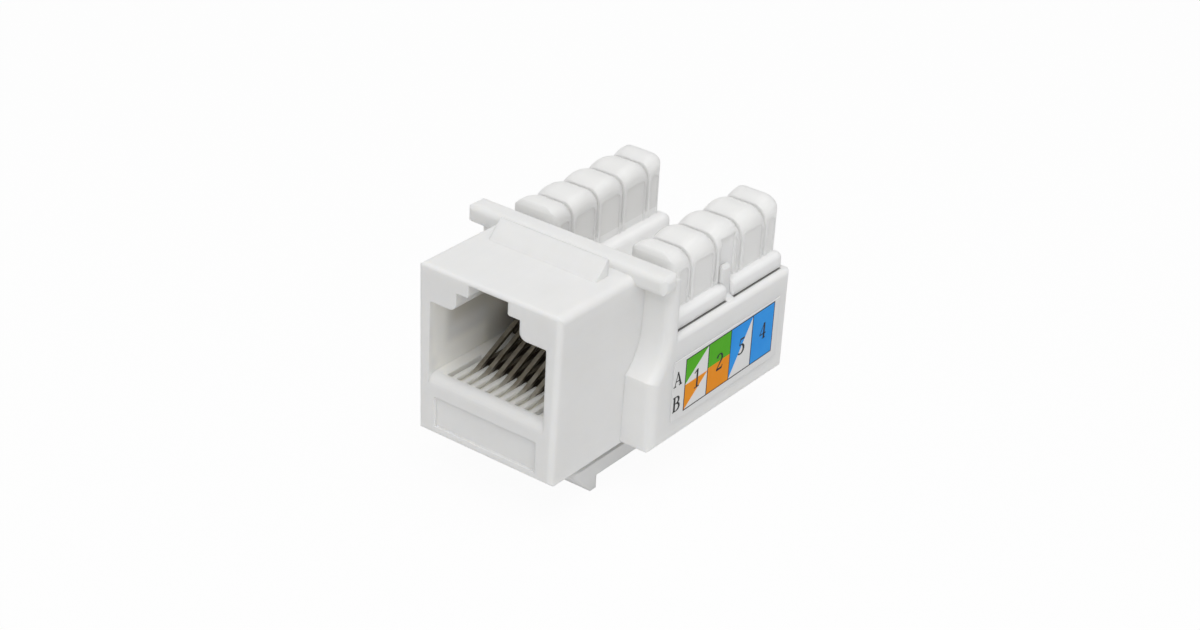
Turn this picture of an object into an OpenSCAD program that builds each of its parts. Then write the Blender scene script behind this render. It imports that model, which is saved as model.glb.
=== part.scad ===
// Keystone network jack: a modular plug port in front and two rows of
// insulation displacement towers on top of the rear tray.
// X runs across the jack, +Y from the front face to the rear, +Z up.
// The origin is the bottom centre of the front face. Millimetres.

/* [Front body] */
// Width of the body at its top
body_top_w = 14.8; // [14.4:0.1:15.4]
// Width of the body at its bottom
body_bottom_w = 14.2; // [13.8:0.1:14.8]
// Height of the body
body_h = 15.7; // [15.5:0.1:16.6]
// Radius of the body's long top edges
body_top_r = 0.7; // [0.3:0.1:0.9]
// Radius of the lower and upright edges of the front face
face_edge_r = 0.5; // [0.3:0.05:0.6]
// Radius of the upper edge of the front face
face_top_r = 0.35; // [0.2:0.05:0.35]
// Width of the bare panel under the port
panel_w = 10.7; // [9.0:0.1:11.2]
// Height of the bare panel under the port
panel_h = 2.85; // [2.2:0.05:3.0]
// Height of the panel's lower edge
panel_z = 0.8; // [0.7:0.05:1.2]
// Depth of the panel
panel_depth = 0.3; // [0.1:0.05:0.5]

/* [Plug port] */
// Width of the plug cavity
port_w = 12.1; // [11.9:0.1:12.4]
// Height of the sill that the plug slides over
port_floor_z = 5.6; // [5.5:0.05:5.9]
// Height of the shoulders over the plug's body
port_top_z = 12.45; // [12.3:0.05:12.7]
// Radius in the cavity's upper corners
port_corner_r = 0.15; // [0.1:0.05:0.4]
// Radius of the shoulders' lower edges beside the tab
port_lip_r = 0.7; // [0.4:0.1:0.8]
// Radius of the rounded edge in front of the sill
sill_r = 0.95; // [0.8:0.05:1.1]
// Width of the room for the plug's locking tab
tab_room_w = 6.6; // [6.4:0.1:7.0]
// Height of the step beside the tab slot
tab_step_z = 14.15; // [13.9:0.05:14.4]
// Radius of the step's edges
tab_step_r = 0.2; // [0.1:0.05:0.3]
// Width of the tab slot
tab_slot_w = 4.1; // [3.7:0.1:4.6]
// Wall left above the tab slot
tab_slot_wall = 0.4; // [0.4:0.05:0.6]
// Thickness of the wall that the tab locks behind
tab_lock_t = 1.5; // [1.2:0.1:2.0]
// Wall left above the tab room
tab_room_wall = 0.7; // [0.6:0.05:0.9]

/* [Panel catch] */
// Width of the fixed wedge
wedge_w = 11.2; // [9.0:0.2:12.0]
// Height of the fixed wedge above the body
wedge_h = 1.5; // [1.0:0.1:1.8]
// Length of the fixed wedge's ramp
wedge_ramp = 1.6; // [1.2:0.1:2.2]
// Place of the catching faces of the wedge and the lip
catch_y = 8.4; // [8.0:0.1:8.5]
// Gap for the panel between the wedge and the stop bar
panel_gap = 1.3; // [1.2:0.1:1.5]
// Length of the stop bar
bar_l = 20.8; // [20.3:0.1:22.0]
// Depth of the stop bar from front to back
bar_d = 2.2; // [1.9:0.1:2.5]
// Height of the stop bar
bar_h = 1.75; // [1.75:0.05:2.0]
// Rise of the stop bar above the body
bar_rise = 0.7; // [0.5:0.1:1.0]
// Radius of the stop bar's front corners seen from above
bar_end_r = 0.6; // [0.4:0.05:0.9]
// Radius of the stop bar's rear corners seen from above
bar_back_r = 1.1; // [0.5:0.05:1.2]
// Radius of the stop bar's lower tips seen from the front
bar_tip_r = 0.85; // [0.5:0.05:0.9]
// Radius of the stop bar's upper tips seen from the front
bar_top_r = 0.55; // [0.3:0.05:0.7]
// Radius of the stop bar's long edges
bar_edge_r = 0.6; // [0.3:0.05:0.7]

/* [Latch lever] */
// Width of the lever
lever_w = 11.2; // [9.0:0.2:12.0]
// Thickness of the lever's arm
lever_t = 1.35; // [1.1:0.05:1.5]
// Gap between the body and the lever
lever_gap = 1.95; // [1.9:0.05:2.4]
// Depth of the lip under the arm
lip_h = 1.25; // [1.0:0.05:1.4]
// Length of the lip's flat underside
lip_flat = 0.7; // [0.4:0.1:1.0]
// Reach of the lever in front of the lip's catching face
lever_nose = 2.9; // [2.2:0.1:3.4]
// Distance from the lip's catching face to the hinge line
lever_arm = 6.8; // [6.2:0.1:7.6]
// Radius of the lip's lower front edge
lip_r = 0.35; // [0.2:0.05:0.45]
// Radius of the lever's front corners seen from above
lever_corner_r = 0.6; // [0.3:0.1:1.0]
// Depth of the root that the lever grows from
root_d = 1.9; // [1.6:0.1:2.4]

/* [Rear tray] */
// Width over the tray's side walls
tray_w = 20.3; // [20.0:0.1:20.3]
// Thickness of each side wall
tray_wall = 1.15; // [1.0:0.05:1.25]
// Height of the side walls
tray_h = 9.9; // [9.7:0.05:10.1]
// Thickness of the tray's floor
tray_floor = 1.4; // [1.0:0.1:1.6]
// Length of the tray behind the last wire slot
rear_run = 2.4; // [2.1:0.05:3.2]
// Place of the tray's front shoulders
shoulder_y = 9.35; // [9.3:0.05:9.4]
// Height where the shoulders start to curve back
shoulder_fold_z = 6.7; // [6.4:0.1:7.4]
// Height where the shoulders stand up again
shoulder_top_z = 10.7; // [10.3:0.1:11.2]
// Depth of the curved part
shoulder_lean = 1.8; // [1.6:0.05:1.85]
// Radius of the shoulders' outer edges
shoulder_edge_r = 0.9; // [0.5:0.1:1.0]
// Radius of the shoulders' toes
shoulder_toe_r = 0.4; // [0.3:0.1:1.0]
// Thickness of the bulkhead between the port and the tray
bulkhead_t = 1.15; // [1.1:0.05:1.4]
// Radius of the tray's rear upright corners
tray_corner_r = 0.6; // [0.3:0.1:0.9]
// Radius of the tray's long lower edges
tray_bottom_r = 0.8; // [0.4:0.1:1.0]
// Radius of the side walls' upper edges and of the lower edge behind
tray_edge_r = 0.4; // [0.2:0.05:0.6]
// Height of the ribs that carry the circuit board
rib_h = 1.4; // [1.2:0.05:1.5]
// Width of a rib
rib_w = 1.0; // [0.6:0.1:1.2]
// Thickness of the low sill that closes the tray behind
rear_sill_t = 1.2; // [0.8:0.1:1.4]

/* [Contact comb and carrier] */
// Wall of the carrier beside its outer grooves
comb_side = 0.35; // [0.3:0.05:0.5]
// Place of the comb's rear end
comb_end_y = 4.4; // [4.0:0.1:5.2]
// Width of a groove in the comb
groove_w = 0.52; // [0.5:0.01:0.6]
// Number of grooves in the comb
grooves = 10; // [8:2:10]
// Carrier's plate left under the grooves
groove_floor_t = 0.3; // [0.25:0.05:0.4]
// Place of the front face of the guide wall
guide_y = 9.7; // [9.6:0.05:9.8]
// Depth of the slots in the guide wall
guide_slot_d = 1.3; // [1.2:0.05:1.35]
// Height of the slots in the guide wall
guide_slot_z = 9.4; // [9.35:0.05:9.5]
// Width of the guide wall
guide_w = 12.0; // [11.2:0.1:12.0]
// Height of the foot that stands on the circuit board
foot_h = 1.5; // [1.3:0.1:1.8]
// Length of the foot
foot_l = 3.6; // [3.4:0.1:3.9]

/* [Contact springs] */
// Number of contact springs
contacts = 8; // [8:1:8]
// Distance between neighbouring springs
contact_pitch = 1.02; // [1.0:0.01:1.04]
// Width of a spring strip
strip_w = 0.42; // [0.36:0.01:0.44]
// Thickness of a spring strip
strip_t = 0.3; // [0.22:0.01:0.32]
// Radius of the bend at the front of a spring
bend_r = 0.3; // [0.27:0.01:0.33]
// Distance of the bend's centre behind the sill
bend_back = 0.6; // [0.58:0.01:0.7]
// Length of the flat run behind the bend
strip_flat = 0.25; // [0.2:0.05:0.45]
// Radius of the bow where a spring turns up
strip_bow_r = 3.0; // [2.6:0.1:3.4]
// Slope of a spring's long straight run
strip_end_slope = 26.5; // [24:0.5:27]
// Reach of a spring from its bend to its tip
strip_reach = 8.6; // [8.4:0.05:8.7]
// Angle of the small gap where a spring meets its tail
strip_split = 10; // [8:1:12]
// Angle of the front bend that turns with the spring
spring_turn = 80; // [60:5:90]
// Distance of the first row of pins behind the bulkhead
pin_first = 1.1; // [1.0:0.05:1.2]
// Distance between the two rows of pins
pin_row = 1.6; // [1.4:0.05:1.7]
// Length of a pin under the circuit board
pin_out = 0.6; // [0.4:0.05:0.9]

/* [Circuit board] */
// Thickness of the circuit board
board_t = 1.2; // [1.0:0.1:1.3]
// Gap between the circuit board and each side wall
board_side = 0.3; // [0.2:0.05:0.5]
// Diameter of the holes for the contact pins
pin_hole_d = 0.72; // [0.66:0.02:0.8]
// Diameter of the holes for the fork pins
fork_hole_d = 0.9; // [0.86:0.02:1.0]

/* [Tower block] */
// Number of wire slots in one row
slots = 4; // [4:1:4]
// Distance between neighbouring slots
slot_pitch = 3.65; // [3.6:0.01:3.7]
// Width of a wire slot
slot_w = 0.35; // [0.3:0.05:0.6]
// Distance of the first slot behind the bulkhead
slot_first = 3.8; // [3.7:0.05:3.9]
// Height of the bottom of the wire slots
slot_floor_z = 11.7; // [11.5:0.1:12.2]
// Height of the ridges of the posts
post_top_z = 16.45; // [16.2:0.05:17.0]
// Drop from a ridge to the mouth of a slot
post_drop = 0.45; // [0.4:0.01:0.5]
// Distance of the outer ledges inside the tray's sides
ledge_in = 0.8; // [0.7:0.05:0.9]
// Width of a row
row_w = 4.7; // [4.6:0.05:4.8]
// Distance of the rows' front ends behind the bulkhead
row_front = 1.1; // [0.8:0.05:1.3]
// Distance of the rows' rear ends before the tray's rear end
row_rear = 0.5; // [0.3:0.05:0.7]
// Radius of the posts' upright edges beside the slots
post_r = 0.15; // [0.1:0.05:0.2]
// Radius of the rows' front ends
row_end_r = 0.9; // [0.5:0.1:1.0]
// Radius of the rows' rear ends
row_rear_r = 0.4; // [0.2:0.1:0.5]
// Radius of the posts' top edges towards the cable channel
post_top_r = 1.2; // [0.6:0.1:1.3]
// Width of the ribs beside the slots
post_rib = 0.25; // [0.2:0.05:0.4]
// Depth of the panels between the ribs
post_panel_d = 0.12; // [0.08:0.02:0.14]
// Radius of the panels' upper corners
post_panel_r = 0.5; // [0.3:0.05:0.5]
// Drop from a ridge to the top of a panel
post_panel_drop = 1.6; // [1.4:0.1:2.2]
// Thickness of the deck between the rows
deck_t = 1.5; // [1.2:0.1:1.8]
// Height of the deck's top
deck_z = 9.1; // [9.0:0.05:9.3]
// Height of the outer ledges above the side walls
ledge_h = 1.5; // [1.3:0.05:1.6]
// Reach of the outer ledges beyond the rows
ledge_w = 0.75; // [0.6:0.05:0.9]
// Height of the inner ledges above the deck
rail_h = 1.75; // [1.4:0.05:1.9]
// Gap between the side walls and the outer ledges
ledge_gap = 0.15; // [0.1:0.05:0.2]
// Radius of the outer ledges' upper edges
ledge_r = 0.45; // [0.2:0.05:0.5]
// Radius of the inner ledges' upper edges
rail_r = 0.5; // [0.2:0.05:0.6]
// Width of the inner ledges
rail_w = 1.1; // [0.8:0.1:1.2]
// Thickness of the skirts that press on the circuit board
skirt_t = 0.95; // [0.8:0.05:1.1]

/* [Snap tongues] */
// Width of a tongue
tongue_w = 1.0; // [0.8:0.05:1.2]
// Thickness of a tongue
tongue_t = 0.6; // [0.5:0.05:0.7]
// Height of a tongue above the side wall
tongue_h = 3.1; // [2.8:0.1:3.3]
// Distance of the tongues behind the second slot
tongue_back = 1.25; // [1.1:0.05:1.4]
// Width of the recess behind a tongue
window_w = 2.1; // [2.0:0.05:2.2]
// Depth of the recess behind a tongue
window_d = 0.35; // [0.2:0.05:0.4]
// Height of the top of the recess
window_top_z = 15.4; // [14.6:0.1:15.5]

/* [Fork contacts] */
// Width of a fork
fork_w = 2.4; // [2.2:0.05:2.5]
// Thickness of a fork
fork_t = 0.4; // [0.34:0.02:0.46]
// Width of the slit that cuts into the wire
fork_slit = 0.26; // [0.2:0.02:0.3]
// Depth of the slit
fork_slit_d = 3.4; // [3.0:0.1:3.8]
// Width of the slit's mouth
fork_mouth = 0.9; // [0.6:0.05:1.1]
// Drop from the posts' ridges to the tips of the prongs
fork_drop = 1.8; // [1.6:0.1:2.0]
// Width of the fork's stem
stem_w = 1.4; // [1.2:0.1:1.6]
// Width of the fork's pin
fork_pin_w = 0.6; // [0.5:0.02:0.64]

/* [Label] */
// Length of the wiring label
label_l = 15.8; // [15.0:0.1:16.2]
// Height of the wiring label
label_h = 5.8; // [5.0:0.1:6.2]
// Thickness of the wiring label
label_t = 0.1; // [0.06:0.01:0.14]
// Height of the label's lower edge
label_z = 1.95; // [1.6:0.05:2.2]
// Distance from the label to the tray's rear end
label_rear = 1.5; // [1.0:0.05:1.8]

/* [Fits] */
// Gap between pieces that are pushed together
fit_gap = 0.05; // [0.03:0.01:0.06]
// Gap round the lever's root
run_gap = 0.08; // [0.06:0.01:0.1]

/* [Hidden] */

white = [0.93, 0.93, 0.91];
over = 1;

draft = atan((body_top_w - body_bottom_w) / 2 / body_h);
bar_y = catch_y + panel_gap;
bar_z = body_h + bar_rise - bar_h;
wall_y = shoulder_y + shoulder_lean;
shoulder_rise = shoulder_top_z - shoulder_fold_z;
shoulder_r = (shoulder_rise * shoulder_rise + shoulder_lean * shoulder_lean) / 2 / shoulder_lean;
tray_y = wall_y + bulkhead_t;
function slot_y(i) = tray_y + slot_first + (i - 1) * slot_pitch;
rear_y = slot_y(slots) + rear_run;
tray_in = tray_w / 2 - tray_wall;

hinge_y = catch_y + lever_arm;
hinge_z = -lever_gap - lever_t / 2;

board_w = 2 * (tray_in - board_side);
board_z = tray_floor + rib_h;
board_top = board_z + board_t;
board_front_y = tray_y + 3 * fit_gap;
board_rear_y = rear_y - rear_sill_t - 2 * fit_gap;
seat_z = board_top + fit_gap;

comb_y = sill_r + fit_gap;
groove_z = seat_z + groove_floor_t;
comb_w = (contacts - 1) * contact_pitch + groove_w + 2 * comb_side;
guide_back_y = tray_y - fit_gap;
guide_top_z = tray_h - fit_gap;
tunnel_z = groove_z + strip_t + 3 * fit_gap;

bend_y = comb_y + bend_back;
tail_z = groove_z + fit_gap + strip_t / 2;
bend_z = tail_z + bend_r;
spring_start = 90 + spring_turn;
tail_end = spring_start + strip_split;
function contact_x(i) = (i - (contacts + 1) / 2) * contact_pitch;
function pin_y(i) = tray_y + pin_first + (i % 2) * pin_row;

row_gap = tray_w - 2 * (ledge_in + ledge_w + row_w);
row_in = row_gap / 2;
row_x = row_in + row_w / 2;
row_out = row_in + row_w;
row_y0 = tray_y + row_front;
row_y1 = rear_y - row_rear;
ledge_x = row_out + ledge_w;
ledge_z = tray_h + ledge_h;
deck_y0 = tray_y + fit_gap;
post_half = (slot_pitch - slot_w) / 2;
post_dome_r = (post_half * post_half + post_drop * post_drop) / 2 / post_drop;
post_outer_r = post_dome_r - post_half - fit_gap;
function post_y0(i) = i == 1 ? row_y0 : slot_y(i - 1) + slot_w / 2;
function post_y1(i) = i > slots ? row_y1 : slot_y(i) - slot_w / 2;
post_base_z = deck_z - deck_t;
tongue_y = slot_y(2) + tongue_back;
tongue_x = row_out + fit_gap - window_d;
window_y = (slot_y(2) + slot_y(3)) / 2;

fork_top_z = post_top_z - fork_drop;
stem_top_z = slot_floor_z - 1.6;

// Points along an arc
function arc(cx, cy, r, a0, a1, n = 6) =
    [for (i = [0:n]) let(a = a0 + (a1 - a0) * i / n) [cx + r * cos(a), cy + r * sin(a)]];

// One rounded or square corner
function corner(cx, cy, r, a) = r > 0 ? arc(cx, cy, r, a, a + 90) : [[cx, cy]];

// Rectangle with a radius for each corner, anticlockwise from the lower left
function round_rect(x0, y0, x1, y1, r) = concat(
    corner(x0 + r[0], y0 + r[0], r[0], 180),
    corner(x1 - r[1], y0 + r[1], r[1], 270),
    corner(x1 - r[2], y1 - r[2], r[2], 0),
    corner(x0 + r[3], y1 - r[3], r[3], 90));

// The same points on the other side, in the opposite order
function mirrored(p) = [for (i = [len(p) - 1:-1:0]) [-p[i][0], p[i][1]]];

// Outline of a bent strip from the points and headings of its middle line
function strip_side(path, d) = [for (p = path) [p[0] - d * sin(p[2]), p[1] + d * cos(p[2])]];
function strip_outline(path, t) = let(
    left = strip_side(path, t / 2),
    right = strip_side(path, -t / 2))
    concat(left, [for (i = [len(right) - 1:-1:0]) right[i]]);

// Middle line of a spring's free leg: a flat run, a bow and a long straight run
function leg_path(n = 6) = let(
    slope = strip_end_slope,
    z0 = bend_z + bend_r,
    bow = [for (i = [0:n]) let(a = slope * i / n)
        [bend_y + strip_flat + strip_bow_r * sin(a), z0 + strip_bow_r * (1 - cos(a)), a]],
    rest = bend_y + strip_reach - bow[n][0])
    concat([[bend_y, z0, 0]], bow, [[bow[n][0] + rest, bow[n][1] + rest * tan(slope), slope]]);

// Middle line of the fixed part of a spring, from its bend to its pin
function tail_path(y) = concat(
    [[bend_y, tail_z, 0]],
    [for (i = [0:4]) let(a = 90 - 90 * i / 4)
        [y - bend_r + bend_r * cos(a), tail_z - bend_r + bend_r * sin(a), a - 90]],
    [[y, board_z - pin_out, -90]]);

// Profile drawn in the YZ plane, run along X
module along_x(points, x0, x1) {
    translate([x0, 0, 0])
        rotate([90, 0, 90])
            linear_extrude(height = x1 - x0)
                polygon(points);
}

// Profile drawn in the XZ plane, run along Y
module along_y(points, y0, y1) {
    translate([0, y1, 0])
        rotate([90, 0, 0])
            linear_extrude(height = y1 - y0)
                polygon(points);
}

// Profile drawn in the XY plane, run along Z
module along_z(points, z0, z1) {
    translate([0, 0, z0])
        linear_extrude(height = z1 - z0)
            polygon(points);
}

// Box from one corner to the other
module block(a, b) {
    translate(a)
        cube(b - a);
}

// Both sides of the jack
module both_sides() {
    children();
    mirror([1, 0, 0])
        children();
}

// Takes an edge off to a radius: the edge runs up Z, with material at -X and +Y
module edge_cut(r, length) {
    linear_extrude(height = length)
        polygon(concat([[over, -over], [over, r]], arc(-r, r, r, 0, -90), [[-r, -over]]));
}

// Part of a strip's front bend, from one angle to another
module strip_bend(a0, a1) {
    translate([-strip_w / 2, bend_y, bend_z])
        rotate([90, 0, 90])
            rotate([0, 0, a0])
                rotate_extrude(angle = a1 - a0, $fn = 96)
                    translate([bend_r - strip_t / 2, 0])
                        square([strip_t, strip_w]);
}

// Front body with its draft and rounded edges
module body_form() {
    bottom = body_bottom_w / 2;
    top = body_top_w / 2;
    r = body_top_r;
    difference() {
        intersection() {
            along_y(concat([[-bottom, 0], [bottom, 0]], arc(top - r, body_h - r, r, 0, 90), arc(r - top, body_h - r, r, 90, 180)), 0, tray_y);
            along_x(round_rect(0, 0, tray_y + over, body_h, [face_edge_r, 0, 0, face_top_r]), -body_top_w, body_top_w);
        }
        both_sides()
            translate([bottom, 0, 0])
                rotate([0, draft, 0])
                    translate([0, 0, -over])
                        edge_cut(face_edge_r, body_h + 2 * over);
    }
}

// Tray, shoulders and the upper wall, as one block seen from the side
module tray_form() {
    half = tray_w / 2;
    e = shoulder_edge_r;
    side = concat(
        corner(shoulder_y + shoulder_toe_r, shoulder_toe_r, shoulder_toe_r, 180),
        corner(rear_y - tray_edge_r, tray_edge_r, tray_edge_r, 270),
        [[rear_y, tray_h], [tray_y, tray_h], [tray_y, bar_z + bar_h / 2], [wall_y, bar_z + bar_h / 2]],
        [[wall_y, shoulder_top_z], [shoulder_y, shoulder_top_z]]);
    difference() {
        along_x(side, -half, half);
        // the shoulders' hollow curve, with its rounded ends
        translate([0, wall_y - shoulder_r, shoulder_top_z])
            rotate([90, 0, 90]) {
                translate([0, 0, -tray_w])
                    cylinder(h = 2 * tray_w, r = shoulder_r, $fn = 96);
                for (end = [0, 180])
                    rotate([end, 0, 0])
                        rotate_extrude($fn = 96)
                            polygon(concat(
                                [[shoulder_r - over, half + over], [shoulder_r + e, half + over]],
                                arc(shoulder_r + e, half - e, e, 90, 180),
                                [[shoulder_r - over, half - e]]));
            }
        both_sides() {
            // upright front edges below and above the curve
            translate([half, shoulder_y, -over])
                edge_cut(e, shoulder_top_z + over);
            translate([half, wall_y, shoulder_top_z])
                edge_cut(e, bar_z + bar_h - shoulder_top_z);
            // upright rear corners
            translate([half, rear_y, -over])
                rotate([0, 0, 90])
                    edge_cut(tray_corner_r, tray_h + 2 * over);
            // long top and bottom edges of the side walls
            translate([half, tray_y, tray_h])
                rotate([-90, 0, 0])
                    edge_cut(tray_edge_r, rear_y - tray_y + over);
            translate([half, rear_y + over, 0])
                rotate([90, 0, 0])
                    edge_cut(tray_bottom_r, rear_y - shoulder_y + 2 * over);
        }
    }
}

// Bar that stops the jack against the front of the panel's frame
module stop_bar() {
    half = bar_l / 2;
    e = bar_edge_r;
    intersection() {
        along_x(round_rect(bar_y, bar_z, bar_y + bar_d, bar_z + bar_h, [e, e, e, e]), -half, half);
        along_y(round_rect(-half, bar_z, half, bar_z + bar_h, [bar_tip_r, bar_tip_r, bar_top_r, bar_top_r]), bar_y, bar_y + bar_d);
        along_z(round_rect(-half, bar_y, half, bar_y + bar_d, [bar_end_r, bar_end_r, bar_back_r, bar_back_r]), bar_z, bar_z + bar_h);
    }
}

// Fixed wedge on top of the body
module catch_wedge() {
    top = body_h + wedge_h;
    along_x([
        [catch_y - wedge_ramp - 0.4, body_h - 0.4], [catch_y, body_h - 0.4],
        [catch_y, top], [catch_y - 0.15, top], [catch_y - wedge_ramp, body_h]],
        -wedge_w / 2, wedge_w / 2);
}

// Solid foot on the underside that the latch lever grows from
module lever_root() {
    bottom = hinge_z - lever_t / 2;
    r = root_d / 2;
    difference() {
        along_x(round_rect(hinge_y, bottom, hinge_y + root_d, tray_floor / 2, [0, r, 0, 0]), -lever_w / 2, lever_w / 2);
        translate([-lever_w, hinge_y, hinge_z])
            rotate([0, 90, 0])
                cylinder(h = 2 * lever_w, r = lever_t / 2 + run_gap, $fn = 48);
    }
}

// Plug cavity with the stepped slot for the plug's locking tab
module port_cut() {
    half = port_w / 2;
    room = tab_room_w / 2;
    slot = tab_slot_w / 2;
    shoulder = concat(
        [[half, port_floor_z]],
        corner(half - port_corner_r, port_top_z - port_corner_r, port_corner_r, 0),
        arc(room + port_lip_r, port_top_z + port_lip_r, port_lip_r, 270, 180));
    // aperture in the front face
    front = concat(
        shoulder, [[room, tab_step_z]],
        arc(slot + tab_step_r, tab_step_z + tab_step_r, tab_step_r, 270, 180),
        [[slot, body_h - tab_slot_wall]]);
    along_y(concat(front, mirrored(front)), -over, tab_lock_t);
    // cavity behind the aperture
    behind = concat(shoulder, [[room, body_h - tab_room_wall]]);
    along_y(concat(behind, mirrored(behind)), tab_lock_t - fit_gap, wall_y);
    // rounded edge in front of the sill
    along_x(concat(
        [[sill_r, port_floor_z + over], [-over, port_floor_z + over], [-over, port_floor_z - sill_r]],
        arc(sill_r, port_floor_z - sill_r, sill_r, 180, 90)),
        -half, half);
}

// Grooves of the comb that the springs lie in
module comb_grooves(y0, y1, top) {
    for (i = [1:grooves]) {
        x = (i - (grooves + 1) / 2) * contact_pitch;
        block([x - groove_w / 2, y0, groove_z], [x + groove_w / 2, y1, top]);
    }
}

// Room for the carrier under the port and its passage into the tray
module carrier_cut() {
    half = comb_w / 2 + fit_gap;
    block([-half, comb_end_y, board_top], [half, tray_y + over, port_floor_z + over]);
    block([-port_w / 2, wall_y - over, board_top], [port_w / 2, tray_y + over, tray_h]);
    comb_grooves(comb_y, comb_end_y + over, port_floor_z + over);
}

// Tongues that snap over the tower block
module snap_tongues() {
    top = tray_h + tongue_h;
    nib = tongue_t / 2;
    both_sides()
        along_y([
            [tongue_x, tray_h + ledge_h + 0.6], [tongue_x + 2 * nib, tray_h - 0.6], [tray_in + tray_wall / 2, tray_h - 0.6],
            [tray_in + tray_wall / 2, tray_h], [tongue_x + 2.2 * nib, tray_h + 0.4], [tongue_x + 2 * nib, top - nib], [tongue_x + nib, top],
            [tongue_x, top - nib / 2]],
            tongue_y - tongue_w / 2, tongue_y + tongue_w / 2);
}

module jack_housing() {
    color(white) {
        difference() {
            union() {
                body_form();
                tray_form();
                stop_bar();
                catch_wedge();
                lever_root();
            }
            port_cut();
            carrier_cut();
            // bare panel under the port
            block([-panel_w / 2, -over, panel_z], [panel_w / 2, panel_depth, panel_z + panel_h]);
            // inside of the tray, open above and behind
            block([-tray_in, tray_y, tray_floor], [tray_in, rear_y + over, body_h + over]);
        }
        // ribs under the circuit board and the sill behind it
        both_sides()
            block([board_w / 2 - rib_w, tray_y - 0.1, tray_floor - 0.1], [board_w / 2, rear_y - rear_sill_t / 2, board_z]);
        block([-tray_in - 0.1, rear_y - rear_sill_t, tray_floor - 0.1], [tray_in + 0.1, rear_y - tray_edge_r, board_z]);
        snap_tongues();
    }
}

module latch_lever() {
    half = lever_w / 2;
    top = hinge_z + lever_t / 2;
    bottom = hinge_z - lever_t / 2;
    nose_y = catch_y - lever_nose;
    lip_y = catch_y - lip_flat;
    lip_z = bottom - lip_h;
    ramp = atan((bottom + 0.9 - lip_z) / (lip_y - nose_y));
    c = lever_corner_r;
    color(white)
        intersection() {
            along_x(concat(
                arc(hinge_y, hinge_z, lever_t / 2, -90, 90, 10),
                [[nose_y + 0.25, top], [nose_y, top - 0.25], [nose_y, bottom + 0.9 - 0.1]],
                arc(lip_y, lip_z + lip_r, lip_r, 270 - ramp, 270, 4),
                [[catch_y, lip_z], [catch_y, bottom]]),
                -half, half);
            along_z(round_rect(-half, nose_y, half, hinge_y + lever_t, [c, c, 0, 0]), lip_z - over, top + over);
        }
}

module contact_carrier() {
    half = comb_w / 2;
    front_y = comb_end_y + fit_gap;
    color([0.16, 0.15, 0.15])
        difference() {
            union() {
                // plate and the foot on the circuit board
                block([-half, front_y, seat_z], [half, guide_back_y, port_floor_z]);
                block([-half, guide_back_y - 0.1, seat_z], [half, guide_back_y + foot_l, seat_z + foot_h]);
                // guide wall for the tips of the springs
                block([-half, guide_y, port_floor_z - 0.1], [half, wall_y, guide_top_z]);
                block([-guide_w / 2, wall_y - 0.1, seat_z], [guide_w / 2, guide_back_y, guide_top_z]);
            }
            // grooves in line with the comb, which run up the guide wall as slots
            comb_grooves(front_y - over, guide_y + guide_slot_d, guide_slot_z);
            // tunnels for the tails, down to the circuit board
            for (i = [1:contacts]) {
                x = contact_x(i);
                y = pin_y(i);
                translate([x - groove_w / 2, guide_y, groove_z])
                    cube([groove_w, y + strip_t - guide_y, tunnel_z - groove_z]);
                translate([x - groove_w / 2, y - 1.5 * strip_t, seat_z - over])
                    cube([groove_w, 2.5 * strip_t, tunnel_z - seat_z + over]);
            }
        }
}

module contact_spring(i) {
    color([0.78, 0.79, 0.8])
        translate([contact_x(i), 0, 0]) {
            strip_bend(90, spring_start);
            along_x(strip_outline(leg_path(), strip_t), -strip_w / 2, strip_w / 2);
        }
}

module contact_tail(i) {
    color([0.78, 0.79, 0.8])
        translate([contact_x(i), 0, 0]) {
            strip_bend(tail_end, 270);
            along_x(strip_outline(tail_path(pin_y(i)), strip_t), -strip_w / 2, strip_w / 2);
        }
}

module circuit_board() {
    color([0.12, 0.36, 0.2])
        difference() {
            block([-board_w / 2, board_front_y, board_z + fit_gap / 2], [board_w / 2, board_rear_y, board_top]);
            for (i = [1:contacts])
                translate([contact_x(i), pin_y(i), board_z - over])
                    cylinder(h = board_t + 2 * over, d = pin_hole_d, $fn = 24);
            for (i = [1:slots])
                both_sides()
                    translate([row_x, slot_y(i), board_z - over])
                        cylinder(h = board_t + 2 * over, d = fork_hole_d, $fn = 24);
        }
}

// One post of a row: a barrel top over upright sides, with a sunk panel on each side
module post(i) {
    y0 = post_y0(i);
    y1 = post_y1(i);
    front_r = i == 1 ? row_end_r : post_r;
    rear_r = i > slots ? row_rear_r : post_r;
    axis_z = post_top_z - post_dome_r;
    barrel = concat(
        [[0, row_in]],
        corner(post_dome_r - post_top_r, row_in + post_top_r, post_top_r, 270),
        corner(post_dome_r - post_outer_r, row_out - post_outer_r, post_outer_r, 0),
        [[0, row_out]]);
    p0 = y0 + (i == 1 ? row_end_r : post_rib);
    p1 = y1 - (i > slots ? row_rear_r : post_rib);
    panel = round_rect(p0, ledge_z - over, p1, post_top_z - post_panel_drop, [0, 0, post_panel_r, post_panel_r]);
    difference() {
        intersection() {
            union() {
                block([row_in, y0, post_base_z], [row_out, y1, axis_z]);
                translate([0, slot_y(1) + (i - 1.5) * slot_pitch, axis_z])
                    rotate([0, 90, 0])
                        rotate_extrude($fn = 96)
                            polygon(barrel);
            }
            along_z(round_rect(row_in, y0, row_out, y1, [front_r, front_r, rear_r, rear_r]), post_base_z, post_top_z);
            along_x(round_rect(y0, post_base_z, y1, post_top_z + over / 2, [0, 0, i > slots ? over / 2 + row_rear_r : 0, i == 1 ? over / 2 + row_end_r : 0]), row_in, row_out);
        }
        along_x(panel, row_in - over, row_in + post_panel_d);
        along_x(panel, row_out - post_panel_d, row_out + over);
    }
}

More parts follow.
